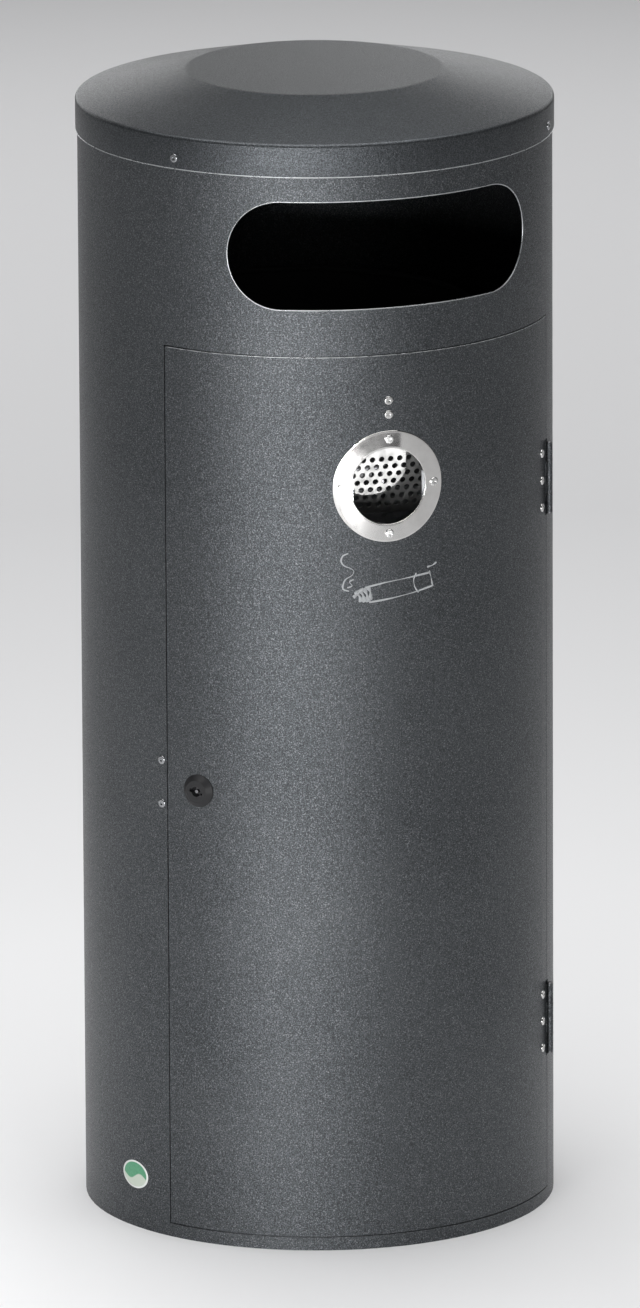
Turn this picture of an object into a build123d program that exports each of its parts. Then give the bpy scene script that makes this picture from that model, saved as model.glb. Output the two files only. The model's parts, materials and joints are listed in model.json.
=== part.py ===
from build123d import *
from math import atan, cos, degrees, radians, sin, tan
import os

# Freestanding round litter bin with a throw-in slot and a built-in ashtray in its door.
# Millimetres. The origin is the centre of the base on the floor, +Z up, front towards -Y.
# A bearing is an angle about the upright axis, in degrees from the front, positive towards +X,
# the hinge side of the door.

# Body tube
body_diameter = 400.0
body_sheet = 1.5
seam_gap = 0.05                 # between curved sheets that are riveted or welded together
cut_past = 1.0                  # how far a cutter runs past the sheet it cuts

# Lid: a skirt over the tube, a cone and a flat top
rim_height = 955.6              # crease between the skirt and the cone, above the floor
skirt_depth = 27.8
cone_rise = 22.4
lid_flat_diameter = 216.0
lid_sheet = 1.2
lid_clearance = 0.4             # between the tube and the skirt
rim_round = 4.0
lid_flat_round = 30.0
tube_below_rim = 4.0
lid_rivet_bearings = (-53.9, 57.8, 180.0)
lid_rivet_above_skirt = 9.5

# Throw-in slot, a stadium wrapped round the tube
slot_bearing = 1.0
slot_arc = 286.0                # length along the wall
slot_height = 92.3
slot_below_rim = 48.8

# Door opening and door
door_below_slot = 40.0
door_bottom = 12.4
door_left_bearing = -57.45
door_sheet = 1.2
door_gap = 1.0
stop_clearance = 0.3            # between the closed door and its stops
stop_sheet = 1.5
stop_overlap = 10.0             # how far a stop reaches behind the door
stop_seat = 12.0                # how far a stop lies on the tube
stop_end_bearing = 50.0

# Hinges
hinge_bearing = 57.3
hinge_proud = 2.7               # pin axis outside the tube
hinge_height = 60.0
upper_hinge_below_door_top = 140.0
lower_hinge_above_door_bottom = 149.0
barrel_radius = 2.75
pin_radius = 1.5
pin_clearance = 0.05
pin_head_radius = 2.3
pin_head_height = 1.2
door_knuckle = 27.0
knuckle_gap = 0.5
leaf_sheet = 1.2
leaf_width = 20.0
neck_offset = 0.35
notch_reach = 3.5               # the sheet is cut back this far either side of the pin axis
notch_above_barrel = 3.0
hinge_rivet_reach = 13.7
hinge_rivet_pitch = 23.4

# Blind rivets
rivet_radius = 2.0
rivet_hole_clearance = 0.1
rivet_head_radius = 3.8
rivet_head_height = 1.3
rivet_head_round = 1.1
rivet_bulb_radius = 2.9
rivet_bulb_length = 2.0
pull_hole_radius = 1.5
pull_hole_depth = 1.1

# Lock
lock_bearing = -48.45
lock_above_door_bottom = 382.6
housing_radius = 14.0
housing_face_radius = 9.5
housing_proud = 4.6
housing_edge = 0.7
barrel_thread_radius = 8.0
barrel_end_depth = 10.0         # from the outer face of the door to the end of the barrel
key_well_radius = 4.25
key_wing_span = 12.4
key_wing_width = 3.0
key_well_depth = 6.0
key_tilt = -10.0
spindle_radius = 5.0
spindle_clearance = 0.05
spindle_bore_depth = 3.0        # from the outer face of the door to the top of the spindle
key_pin_radius = 1.5
key_pin_below_face = 1.2
nut_flats = 22.0
nut_thickness = 4.0
nut_seat = 0.6
square_side = 7.0
tongue_behind_barrel = 1.5
tongue_thickness = 3.0
tongue_width = 16.0
tongue_reach = 42.0
screw_radius = 2.5
screw_length = 7.0
screw_head_flats = 10.0
screw_head_height = 3.0

# Strike plate on the tube behind the left stop
strike_bearing = -59.3
strike_above_lock = 2.35
strike_rivet_pitch = 37.7
strike_height = 64.0
strike_width = 24.0
strike_sheet = 1.5

# Ashtray ring
ring_bearing = -0.8
ring_below_door_top = 112.5
ring_hole_radius = 32.5
ring_radius = 47.75
ring_sheet = 1.3
ring_rivet_circle = 40.5
ring_lip = 1.0                  # the ring's hole is this much smaller than the door's

# Stub plate and its bracket, behind the ring
bracket_rivet_heights = (61.5, 73.5)   # above the middle of the ring
bracket_width = 50.0
bracket_sheet = 1.2
bracket_flange_low = 52.0
bracket_flange_high = 86.0
bracket_tab = 14.0
stub_plate_width = 108.0
stub_plate_sheet = 1.2
stub_plate_lean = 13.0
stub_plate_foot_depth = 68.0    # lower edge, behind the outer face of the door
stub_plate_foot_drop = 40.0     # lower edge, below the middle of the ring
stub_hole_radius = 2.5
stub_hole_pitch = 8.0
stub_hole_rows = 7
stub_hole_columns = 12
stub_hole_margin = 8.5          # from the lower edge to the first row

# Ash box and the cradle that carries it on the door
cradle_sheet = 1.5
cradle_strap_width = 20.0
cradle_above_rivet = 10.0
cradle_shelf_drop = 150.0       # shelf below the middle of the ring
cradle_lip_height = 12.0
ash_unit_depth = 84.5           # from the outer face of the door to the back of the cradle
box_clearance = 1.0
box_rest_gap = 0.3
box_width = 114.0
box_front_depth = 14.0
box_back_top_drop = 22.0        # below the middle of the ring
box_front_top_drop = 50.0
box_sheet = 1.0
box_grip_width = 40.0
box_grip_rise = 18.0
box_grip_wire = 2.0
box_grip_foot = 14.0
box_grip_bend = 6.0

# Base
base_height = 8.0
base_sheet = 2.0
base_flange_top = 30.0
floor_hole_radius = 5.5
floor_hole_circle = 240.0
floor_hole_count = 3

# Liner, a loose bucket that fills the room behind the ash box
liner_back_gap = 3.5
liner_front_gap = 8.0
liner_rest_gap = 0.3
liner_below_door_top = 11.5
liner_sheet = 1.0
liner_bead_radius = 3.0
liner_floor_raise = 15.0
ear_drop = 15.0                 # pivot below the top of the bead
ear_width = 32.0
ear_height = 16.0
ear_sheet = 1.5
ear_boss_radius = 6.0
ear_boss_height = 3.75
ear_rivet_reach = 11.5
bail_wire = 2.5
bail_clearance = 0.1
bail_side_gap = 0.5             # between the ear's boss and the bail's leg
bail_leg = 12.0
bail_droop = 10.0
bail_pin_length = 6.0
bail_bend = 5.0
grip_radius = 8.0
grip_angle = 36.0

# Stickers
sticker_thickness = 0.2
label_bearing = -69.9
label_height = 46.0
label_width = 34.0
label_tall = 24.0
picture_below_ring = 86.0
picture_bearing = 0.4
cigarette_length = 56.0
cigarette_width = 13.0
cigarette_tilt = 8.5
filter_length = 16.0
picture_line_gap = 1.6
smoke_length = 26.0
smoke_width = 4.0
smoke_lean = 75.0
smoke_above_cigarette = 14.0

# Worked-out values
outer = body_diameter / 2
inner = outer - body_sheet
lid_outer = outer + lid_clearance + lid_sheet
lid_top = rim_height + cone_rise
tube_top = rim_height - tube_below_rim
skirt_bottom = rim_height - skirt_depth
slot_top = rim_height - slot_below_rim
slot_middle = slot_top - slot_height / 2
door_top = slot_top - slot_height - door_below_slot
stop_outer = inner
door_inner = stop_outer + stop_clearance
door_outer = door_inner + door_sheet
lock_height = door_bottom + lock_above_door_bottom
ring_height = door_top - ring_below_door_top
hinge_radius = outer + hinge_proud
hinge_heights = {
    "upper": door_top - upper_hinge_below_door_top,
    "lower": door_bottom + lower_hinge_above_door_bottom,
}
base_top = base_height + base_sheet
unit_back = -(outer - ash_unit_depth)
liner_outer = (inner - liner_back_gap - unit_back - liner_front_gap) / 2
liner_y = inner - liner_back_gap - liner_outer
liner_wall_radius = liner_outer - liner_bead_radius
liner_top = door_top - liner_below_door_top
ear_z = liner_top - ear_drop
base_align = (Align.CENTER, Align.CENTER, Align.MIN)


def turn(length):
    """Bearing covered by a length along the outside of the tube."""
    return degrees(length / outer)


def seat(bearing, height):
    """Plane square to the wall: X along the wall, Y up, Z outwards from the upright axis."""
    out = Vector(sin(radians(bearing)), -cos(radians(bearing)), 0)
    along = Vector(-out.Y, out.X, 0)
    return Plane(origin=(0, 0, height), x_dir=along, z_dir=out)


def spot(bearing, height, radius):
    """Point at a bearing, a height and a distance from the upright axis."""
    place = seat(bearing, height)
    return place.origin + place.z_dir * radius


def sector(low_radius, high_radius, first, last, bottom, top):
    """Curved sheet between two radii, two bearings and two heights."""
    width = high_radius - low_radius
    middle = (low_radius + high_radius) / 2
    section = Plane.XZ * Pos(middle, (bottom + top) / 2) * Rectangle(width, top - bottom)
    return Rot(0, 0, first - 90) * revolve(section, Axis.Z, last - first)


def tube(low_radius, high_radius, bottom, top):
    """Round wall between two radii."""
    return Pos(0, 0, bottom) * extrude(Circle(high_radius) - Circle(low_radius), amount=top - bottom)


def peg(place, radius, start, end):
    """Round bar along the seat's outward direction, between two distances from the axis."""
    return place * Pos(0, 0, start) * Cylinder(radius, end - start, align=base_align)


def prism(place, outline, start, end):
    """Flat outline carried along the seat's outward direction."""
    return place * Pos(0, 0, start) * extrude(outline, amount=end - start)


def wall_hole(bearing, height, radius):
    """Cutter for a round hole square to the wall."""
    return peg(seat(bearing, height), radius, inner - ash_unit_depth / 2, outer + ash_unit_depth / 2)


def blind_rivet(grip):
    """Pull rivet along Z: head above Z=0, shank through the grip, bulb below it."""
    head = Cylinder(rivet_head_radius, rivet_head_height, align=base_align)
    head = fillet(head.edges().filter_by(GeomType.CIRCLE).sort_by(Axis.Z)[-1:], rivet_head_round)
    shank = Pos(0, 0, -grip) * Cylinder(rivet_radius, grip, align=base_align)
    bulb = Pos(0, 0, -grip - rivet_bulb_length) * Cylinder(
        rivet_bulb_radius, rivet_bulb_length, align=base_align)
    hole = Pos(0, 0, rivet_head_height - pull_hole_depth) * Cylinder(
        pull_hole_radius, pull_hole_depth, align=base_align)
    return head + shank + bulb - hole


def wall_rivets(places, head_face, back_face):
    """Blind rivets at (bearing, height) places, from an outer face to an inner face."""
    rivet = blind_rivet(head_face - back_face + seam_gap)
    return Compound([seat(bearing, height) * Pos(0, 0, head_face) * rivet for bearing, height in places])


def rivet_holes(places):
    """Cutters for the rivets' holes."""
    return [wall_hole(bearing, height, rivet_radius + rivet_hole_clearance) for bearing, height in places]


def hinge_rivet_places(side):
    """Three rivets on one leaf of each hinge. Side is -1 on the door and +1 on the tube."""
    bearing = hinge_bearing + side * turn(hinge_rivet_reach)
    return [(bearing, middle + step * hinge_rivet_pitch)
            for middle in hinge_heights.values() for step in (-1, 0, 1)]


lid_rivet_places = [(bearing, skirt_bottom + lid_rivet_above_skirt) for bearing in lid_rivet_bearings]
strike_middle = lock_height + strike_above_lock
strike_places = [(strike_bearing, strike_middle + side * strike_rivet_pitch / 2) for side in (-1, 1)]
ring_turn = turn(ring_rivet_circle)
ring_side_places = [(ring_bearing + side * ring_turn, ring_height) for side in (-1, 1)]
ring_places = ring_side_places + [(ring_bearing, ring_height + side * ring_rivet_circle) for side in (-1, 1)]
bracket_places = [(ring_bearing, ring_height + rise) for rise in bracket_rivet_heights]


def door_edge(side):
    """Bearing of a sheet's edge beside the hinge: -1 the door's, +1 the tube's."""
    return hinge_bearing + side * turn(door_gap / 2)


def hinge_notches():
    """Cutters that leave room round the barrels."""
    half = hinge_height / 2 + notch_above_barrel
    first = hinge_bearing - turn(notch_reach)
    last = hinge_bearing + turn(notch_reach)
    return [sector(inner - leaf_sheet / 2, outer + hinge_proud, first, last, middle - half, middle + half)
            for middle in hinge_heights.values()]


def make_body_shell():
    """Rolled tube with the throw-in slot and the door opening cut in it."""
    shell = tube(inner, outer, 0, tube_top)
    shell -= sector(inner - cut_past, outer + cut_past, door_left_bearing - turn(door_gap), door_edge(1),
                    door_bottom - door_gap, door_top + door_gap)
    end_radius = slot_height / 2
    half_turn = turn(slot_arc / 2 - end_radius)
    shell -= sector(inner - cut_past, outer + cut_past, slot_bearing - half_turn, slot_bearing + half_turn,
                    slot_middle - end_radius, slot_middle + end_radius)
    for side in (-1, 1):
        shell -= wall_hole(slot_bearing + side * half_turn, slot_middle, end_radius)
    for cutter in hinge_notches():
        shell -= cutter
    for cutter in rivet_holes(lid_rivet_places + strike_places + hinge_rivet_places(1)):
        shell -= cutter
    return shell


def make_lid():
    """Spun lid: skirt, rounded rim, shallow cone and flat top, all of one thickness."""
    flat = lid_flat_diameter / 2
    slope = atan(cone_rise / (lid_outer - flat))
    start_x = flat - lid_sheet * sin(slope)
    start_z = lid_top - lid_sheet * cos(slope)
    inner_flat = start_x + lid_sheet * (1 - cos(slope)) / tan(slope)
    inner_radius = lid_outer - lid_sheet
    inner_rim = start_z - tan(slope) * (inner_radius - start_x)
    over = FilletPolyline((0, lid_top), (flat, lid_top), (lid_outer, rim_height), (lid_outer, skirt_bottom),
                          radius=[lid_flat_round, rim_round])
    under = FilletPolyline((0, lid_top - lid_sheet), (inner_flat, lid_top - lid_sheet),
                           (inner_radius, inner_rim), (inner_radius, skirt_bottom),
                           radius=[lid_flat_round - lid_sheet, rim_round - lid_sheet])
    hem = Line((lid_outer, skirt_bottom), (inner_radius, skirt_bottom))
    middle = Line((0, lid_top), (0, lid_top - lid_sheet))
    section = Plane.XZ * make_face([*over.edges(), hem, *under.edges(), middle])
    lid = revolve(section, Axis.Z)
    for cutter in rivet_holes(lid_rivet_places):
        lid -= cutter
    return lid


def make_base_plate():
    """Shallow pan welded in the foot of the tube, with three floor-fixing holes."""
    pan = Pos(0, 0, base_height) * Cylinder(inner - seam_gap, base_sheet, align=base_align)
    pan += tube(inner - body_sheet, inner - seam_gap, base_height, base_flange_top)
    step = 360 / floor_hole_count
    for index in range(floor_hole_count):
        pan -= Pos(spot(index * step, 0, floor_hole_circle / 2)) * Cylinder(
            floor_hole_radius, base_flange_top, align=base_align)
    return pan


def make_door_stop_top():
    """Curved strip inside the tube, behind the door's upper edge."""
    return sector(stop_outer - stop_sheet, stop_outer - seam_gap, -stop_end_bearing, stop_end_bearing,
                  door_top - stop_overlap, door_top + door_gap + stop_seat)


def make_door_stop_side():
    """Upright strip inside the tube, behind the door's free edge."""
    first = door_left_bearing - turn(door_gap + stop_seat)
    last = door_left_bearing + turn(stop_overlap)
    strip = sector(stop_outer - stop_sheet, stop_outer - seam_gap, first, last,
                   base_flange_top + stop_seat / 2, door_top - stop_overlap - stop_seat / 2)
    for cutter in rivet_holes(strike_places):
        strip -= cutter
    return strip


def make_strike_plate():
    """Plate behind the side stop that the lock's tongue catches."""
    half = turn(strike_width / 2)
    face = stop_outer - stop_sheet - seam_gap
    plate = sector(face - strike_sheet, face, strike_bearing - half, strike_bearing + half,
                   strike_middle - strike_height / 2, strike_middle + strike_height / 2)
    for cutter in rivet_holes(strike_places):
        plate -= cutter
    return plate


def make_leaf(middle, side, sheet_inner, knuckles):
    """Hinge leaf: knuckles outside the wall, a neck through the notch, a plate behind the sheet.

    Knuckles are pairs of heights from the hinge's middle, and side is as for the rivets.
    """
    place = seat(hinge_bearing, middle)
    face = sheet_inner - seam_gap
    near = hinge_bearing + side * turn(neck_offset)
    far = hinge_bearing + side * turn(leaf_width)
    leaf = sector(face - leaf_sheet, face, min(near, far), max(near, far),
                  middle - hinge_height / 2, middle + hinge_height / 2)
    neck_x = side * (neck_offset + leaf_sheet / 2)
    for low, high in knuckles:
        upright = Pos(0, (low + high) / 2, hinge_radius) * Rot(90, 0, 0)
        leaf += place * upright * Cylinder(barrel_radius, high - low)
        neck_length = hinge_radius - face + leaf_sheet
        neck = Pos(neck_x, (low + high) / 2, hinge_radius - neck_length / 2)
        leaf += place * neck * Box(leaf_sheet, high - low, neck_length)
    bore = Pos(0, 0, hinge_radius) * Rot(90, 0, 0) * Cylinder(pin_radius + pin_clearance, 2 * hinge_height)
    leaf -= place * bore
    for cutter in rivet_holes(hinge_rivet_places(side)):
        leaf -= cutter
    return leaf


def make_door_leaf(middle):
    """Leaf on the door, with the middle knuckle."""
    half = door_knuckle / 2
    return make_leaf(middle, -1, door_inner, [(-half, half)])


def make_body_leaf(middle):
    """Leaf on the tube, with the two outer knuckles."""
    start = door_knuckle / 2 + knuckle_gap
    end = hinge_height / 2
    return make_leaf(middle, 1, inner, [(-end, -start), (start, end)])


def make_hinge_pin(middle):
    """Pin with a flat head at each end of the barrel."""
    pin = Cylinder(pin_radius, hinge_height)
    for side in (-1, 1):
        head = Pos(0, 0, side * (hinge_height + pin_head_height) / 2)
        pin += head * Cylinder(pin_head_radius, pin_head_height)
    return Pos(spot(hinge_bearing, middle, hinge_radius)) * pin


def make_door_panel():
    """Curved flush door with the ashtray hole."""
    door = sector(door_inner, door_outer, door_left_bearing, door_edge(-1), door_bottom, door_top)
    for cutter in hinge_notches():
        door -= cutter
    door -= wall_hole(ring_bearing, ring_height, ring_hole_radius + ring_lip)
    door -= wall_hole(lock_bearing, lock_height, barrel_thread_radius + rivet_hole_clearance)
    for cutter in rivet_holes(hinge_rivet_places(-1) + ring_places + bracket_places):
        door -= cutter
    return door


def make_ashtray_ring():
    """Polished ring bent to the door's curve."""
    place = seat(ring_bearing, ring_height)
    reach = ring_radius + cut_past
    shell = tube(door_outer + seam_gap, door_outer + ring_sheet, ring_height - reach, ring_height + reach)
    ring = shell & peg(place, ring_radius, outer / 2, outer + ring_radius)
    ring -= peg(place, ring_hole_radius, outer / 2, outer + ring_radius)
    for cutter in rivet_holes(ring_places):
        ring -= cutter
    return ring


def stub_plate_plane():
    """Middle of the stub plate's lower edge: X across, Y up the plate, Z towards the door."""
    foot = spot(ring_bearing, ring_height - stub_plate_foot_drop, outer - stub_plate_foot_depth)
    level = seat(ring_bearing, 0)
    lean = radians(stub_plate_lean)
    toward = level.z_dir * cos(lean) - Vector(0, 0, 1) * sin(lean)
    return Plane(origin=foot, x_dir=level.x_dir, z_dir=toward)


roof_top = ring_height + bracket_flange_high
stub_plate_tall = (roof_top - bracket_sheet - seam_gap - ring_height + stub_plate_foot_drop) / cos(
    radians(stub_plate_lean))


def make_stub_plate():
    """Leaning perforated plate that cigarettes are stubbed out on."""
    outline = Pos(0, stub_plate_tall / 2) * Rectangle(stub_plate_width, stub_plate_tall)
    row_step = stub_hole_pitch * sin(radians(60))
    for row in range(stub_hole_rows):
        columns = stub_hole_columns + row % 2
        height = stub_hole_margin + row * row_step
        holes = [place * Circle(stub_hole_radius) for place in GridLocations(stub_hole_pitch, 1, columns, 1)]
        outline -= [Pos(0, height) * hole for hole in holes]
    return stub_plate_plane() * extrude(outline, amount=-stub_plate_sheet)


def make_bracket():
    """Folded strip: flange on the door, roof, and a tab on the stub plate."""
    half = turn(bracket_width / 2)
    face = door_inner - seam_gap
    strip = sector(face - bracket_sheet, face, ring_bearing - half, ring_bearing + half,
                   ring_height + bracket_flange_low, roof_top)
    plate = stub_plate_plane()
    lean = radians(stub_plate_lean)
    back = outer - stub_plate_foot_depth + (roof_top - ring_height + stub_plate_foot_drop) * tan(lean)
    front = face - bracket_sheet / 2
    level = seat(ring_bearing, roof_top - bracket_sheet / 2)
    roof = level * Pos(0, 0, (front + back) / 2) * Box(bracket_width, bracket_sheet, front - back)
    strip += roof & Cylinder(face, 2 * lid_top)
    tab = Pos(0, stub_plate_tall + (bracket_sheet - bracket_tab) / 2, seam_gap + bracket_sheet / 2)
    strip += plate * tab * Box(bracket_width, bracket_tab + bracket_sheet, bracket_sheet)
    for cutter in rivet_holes(bracket_places):
        strip -= cutter
    return strip


shelf_top = ring_height - cradle_shelf_drop


def make_cradle():
    """Two straps on the ring's side rivets, each with a shelf and an upturned lip for the ash box."""
    face = door_inner - seam_gap
    half = turn(cradle_strap_width / 2)
    straps = []
    for bearing, height in ring_side_places:
        strap = sector(face - cradle_sheet, face, bearing - half, bearing + half,
                       shelf_top - cradle_sheet, height + cradle_above_rivet)
        x = outer * sin(radians(bearing - ring_bearing))
        level = seat(ring_bearing, shelf_top - cradle_sheet / 2)
        reach = face + unit_back
        shelf = level * Pos(x, 0, face - reach / 2) * Box(cradle_strap_width, cradle_sheet, reach)
        strap += shelf & Cylinder(face, 2 * lid_top)
        lip_y = (cradle_lip_height - cradle_sheet) / 2
        strap += level * Pos(x, lip_y, -unit_back + cradle_sheet / 2) * Box(
            cradle_strap_width, cradle_lip_height, cradle_sheet)
        for cutter in rivet_holes([(bearing, height)]):
            strap -= cutter
        straps.append(strap)
    return Compound(straps)


box_back = -unit_back + cradle_sheet + box_clearance
box_front = outer - box_front_depth
box_bottom = shelf_top + box_rest_gap


def make_ash_box():
    """Open sheet box, lower at the front, that catches ash and stubs."""
    def outline(inset, lift):
        low = box_bottom + inset
        return Polyline((box_back + inset, low), (box_front - inset, low),
                        (box_front - inset, ring_height - box_front_top_drop + lift),
                        (box_back + inset, ring_height - box_back_top_drop + lift), close=True)
    across = seat(ring_bearing, 0)
    side_on = Plane(origin=(0, 0, 0), x_dir=across.z_dir, z_dir=across.x_dir * -1)
    solid = extrude(side_on * make_face(outline(0, 0)), amount=box_width / 2, both=True)
    hollow = side_on * make_face(outline(box_sheet, box_width))
    room = extrude(hollow, amount=box_width / 2 - box_sheet, both=True)
    return solid - room


def make_box_grip():
    """Wire handle on the inside of the ash box's back wall."""
    foot = ring_height - box_back_top_drop - box_grip_foot
    head = ring_height - box_back_top_drop + box_grip_rise
    depth = box_back + box_sheet + box_grip_wire + seam_gap
    half = box_grip_width / 2
    place = seat(ring_bearing, 0) * Pos(0, 0, depth)
    points = [(-half, foot), (-half, head), (half, head), (half, foot)]
    route = place * FilletPolyline(*points, radius=box_grip_bend)
    section = Plane(origin=route @ 0, z_dir=route % 0) * Circle(box_grip_wire)
    return sweep(section, path=route)


def make_lock_housing():
    """Round raised housing outside, threaded barrel through the door, key well with two wings."""
    place = seat(lock_bearing, lock_height)
    head = peg(place, housing_radius, door_inner, outer + housing_edge)
    head += place * Pos(0, 0, outer + housing_edge) * Cone(
        housing_radius, housing_face_radius, housing_proud - housing_edge, align=base_align)
    head -= Cylinder(door_outer + seam_gap, 2 * lid_top)
    face = outer + housing_proud
    end = outer - barrel_end_depth
    body = head + peg(place, barrel_thread_radius, end, outer + housing_edge)
    body -= peg(place, key_well_radius, end, face)
    body -= peg(place, spindle_radius, end, outer - spindle_bore_depth)
    wings = place * Rot(0, 0, key_tilt) * Pos(0, 0, face - key_well_depth / 2)
    body -= wings * Box(key_wing_span, key_wing_width, key_well_depth)
    return body


def make_lock_nut():
    """Thin hexagon nut behind the door."""
    place = seat(lock_bearing, lock_height)
    outline = RegularPolygon(nut_flats / 2, 6, major_radius=False)
    outline -= Circle(barrel_thread_radius + seam_gap)
    top = door_inner - nut_seat
    return prism(place, outline, top - nut_thickness, top)


tongue_face = outer - barrel_end_depth - tongue_behind_barrel


def make_spindle():
    """Turning spindle: key pin in the well, round bearing, square end for the tongue."""
    place = seat(lock_bearing, lock_height)
    top = outer - spindle_bore_depth - spindle_clearance
    body = peg(place, spindle_radius - spindle_clearance, tongue_face, top)
    body += peg(place, key_pin_radius, top, outer + housing_proud - key_pin_below_face)
    body += prism(place, Rectangle(square_side, square_side), tongue_face - tongue_thickness, tongue_face)
    body -= peg(place, screw_radius + seam_gap, tongue_face - tongue_thickness,
                tongue_face - tongue_thickness + screw_length)
    return body


def make_tongue():
    """Flat latch tongue that hangs straight down when the door is unlocked."""
    place = seat(lock_bearing, lock_height)
    outline = Pos(0, -(tongue_reach - tongue_width / 2) / 2) * Rectangle(
        tongue_width, tongue_reach - tongue_width / 2)
    outline += Circle(tongue_width / 2)
    outline += Pos(0, tongue_width / 2 - tongue_reach) * Circle(tongue_width / 2)
    hole = square_side + 2 * seam_gap
    outline -= Rectangle(hole, hole)
    return prism(place, outline, tongue_face - tongue_thickness, tongue_face)


def make_tongue_screw():
    """Hexagon screw that holds the tongue on the spindle."""
    place = seat(lock_bearing, lock_height)
    seat_face = tongue_face - tongue_thickness - seam_gap
    head = RegularPolygon(screw_head_flats / 2, 6, major_radius=False)
    return prism(place, head, seat_face - screw_head_height, seat_face) + peg(
        place, screw_radius, seat_face, seat_face + screw_length)


def make_liner_wall():
    """Round bucket wall with a rolled bead."""
    wall = tube(liner_wall_radius - liner_sheet, liner_wall_radius, base_top + liner_rest_gap,
                liner_top - liner_bead_radius)
    bead = Plane.XZ * Pos(liner_wall_radius, liner_top - liner_bead_radius) * Circle(liner_bead_radius)
    wall += revolve(bead, Axis.Z)
    for side in (-1, 1):
        wall -= Pos(side * liner_wall_radius, 0, ear_z) * Rot(0, 90, 0) * Cylinder(
            bail_wire + 2 * bail_clearance, 4 * bail_wire)
        for step in (-1, 1):
            wall -= Pos(side * liner_wall_radius, step * ear_rivet_reach, ear_z) * Rot(0, 90, 0) * Cylinder(
                rivet_radius + rivet_hole_clearance, 4 * bail_wire)
    return Pos(0, liner_y, 0) * wall


def make_liner_floor():
    """Raised floor of the bucket."""
    floor = Cylinder(liner_wall_radius - liner_sheet - seam_gap, liner_sheet, align=base_align)
    return Pos(0, liner_y, base_top + liner_floor_raise) * floor


def make_ears():
    """Pressed ears on the bucket's sides, with a boss for the bail."""
    ears = []
    for side in (-1, 1):
        plate = Box(ear_sheet, ear_width, ear_height, align=(Align.MIN, Align.CENTER, Align.CENTER))
        boss = Rot(0, 90, 0) * Cylinder(ear_boss_radius, ear_boss_height, align=base_align)
        ear = plate + boss
        ear -= Rot(0, 90, 0) * Cylinder(bail_wire + bail_clearance, 4 * ear_boss_height)
        for step in (-1, 1):
            ear -= Pos(0, step * ear_rivet_reach, 0) * Rot(0, 90, 0) * Cylinder(
                rivet_radius + rivet_hole_clearance, 4 * ear_sheet)
        turned = Rot(0, 0, 0 if side > 0 else 180)
        ears.append(Pos(side * (liner_wall_radius + seam_gap), liner_y, ear_z) * turned * ear)
    return Compound(ears)


def make_ear_rivets():
    """Two rivets through each ear and the bucket's wall."""
    sagitta = (ear_rivet_reach + rivet_bulb_radius) ** 2 / (2 * (liner_wall_radius - liner_sheet))
    rivet = blind_rivet(ear_sheet + liner_sheet + 2 * seam_gap + sagitta)
    rivets = []
    for side in (-1, 1):
        for step in (-1, 1):
            x = side * (liner_wall_radius + seam_gap + ear_sheet)
            rivets.append(Pos(x, liner_y + step * ear_rivet_reach, ear_z) * Rot(0, side * 90, 0) * rivet)
    return Compound(rivets)


bail_x = liner_wall_radius + seam_gap + ear_boss_height + bail_side_gap + bail_wire


def bail_place():
    """Plane of the bail at rest: X across the bin, Y forwards along the drooping bail."""
    droop = radians(bail_droop)
    forward = Vector(0, -cos(droop), -sin(droop))
    normal = Vector(1, 0, 0).cross(forward)
    return Plane(origin=(0, liner_y, ear_z), x_dir=(1, 0, 0), z_dir=normal)


def make_liner_handle():
    """Wire bail: two pins turned into the ears, two legs and a half circle."""
    place = bail_place()
    half = Circle(bail_wire)
    arc = RadiusArc((-bail_x, bail_leg), (bail_x, bail_leg), bail_x)
    wire = Wire([Line((-bail_x, 0), (-bail_x, bail_leg)), arc, Line((bail_x, bail_leg), (bail_x, 0))])
    route = place * wire
    section = Plane(origin=route @ 0, z_dir=route % 0) * half
    bail = sweep(section, path=route)
    for side in (-1, 1):
        pin = Pos(side * (bail_x - bail_pin_length / 2), 0, 0) * Rot(0, 90, 0)
        bail += place * pin * Cylinder(bail_wire, bail_pin_length)
        bail += place * Pos(side * bail_x, 0, 0) * Sphere(bail_wire)
    return bail


def make_handle_grip():
    """Plastic grip moulded round the middle of the bail."""
    section = Plane.XZ * Pos(bail_x, 0) * (Circle(grip_radius) - Circle(bail_wire + seam_gap))
    arc = Rot(0, 0, 90 - grip_angle / 2) * revolve(section, Axis.Z, grip_angle)
    return bail_place() * Pos(0, bail_leg, 0) * arc


def sticker(bearing, height, outline):
    """Thin film on the wall, cut to an outline."""
    film = tube(outer, outer + sticker_thickness, height - label_width * 2, height + label_width * 2)
    return film & prism(seat(bearing, height), outline, outer / 2, outer + label_width)


def make_oval_label():
    """Small oval information sticker near the foot of the bin."""
    return sticker(label_bearing, label_height, Ellipse(label_width / 2, label_tall / 2))


def make_pictogram():
    """Burning cigarette: white part, filter and a plume of smoke."""
    height = ring_height - picture_below_ring
    tilt = Rot(0, 0, cigarette_tilt)
    paper_length = cigarette_length - filter_length - picture_line_gap
    paper = tilt * Pos((paper_length - cigarette_length) / 2) * Rectangle(paper_length, cigarette_width)
    tip = tilt * Pos((cigarette_length - filter_length) / 2) * Rectangle(filter_length, cigarette_width)
    smoke = Pos(-cigarette_length / 2, smoke_above_cigarette) * Rot(0, 0, smoke_lean) * SlotOverall(
        smoke_length, smoke_width)
    return Compound([sticker(picture_bearing, height, shape) for shape in (paper, tip, smoke)])


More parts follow.
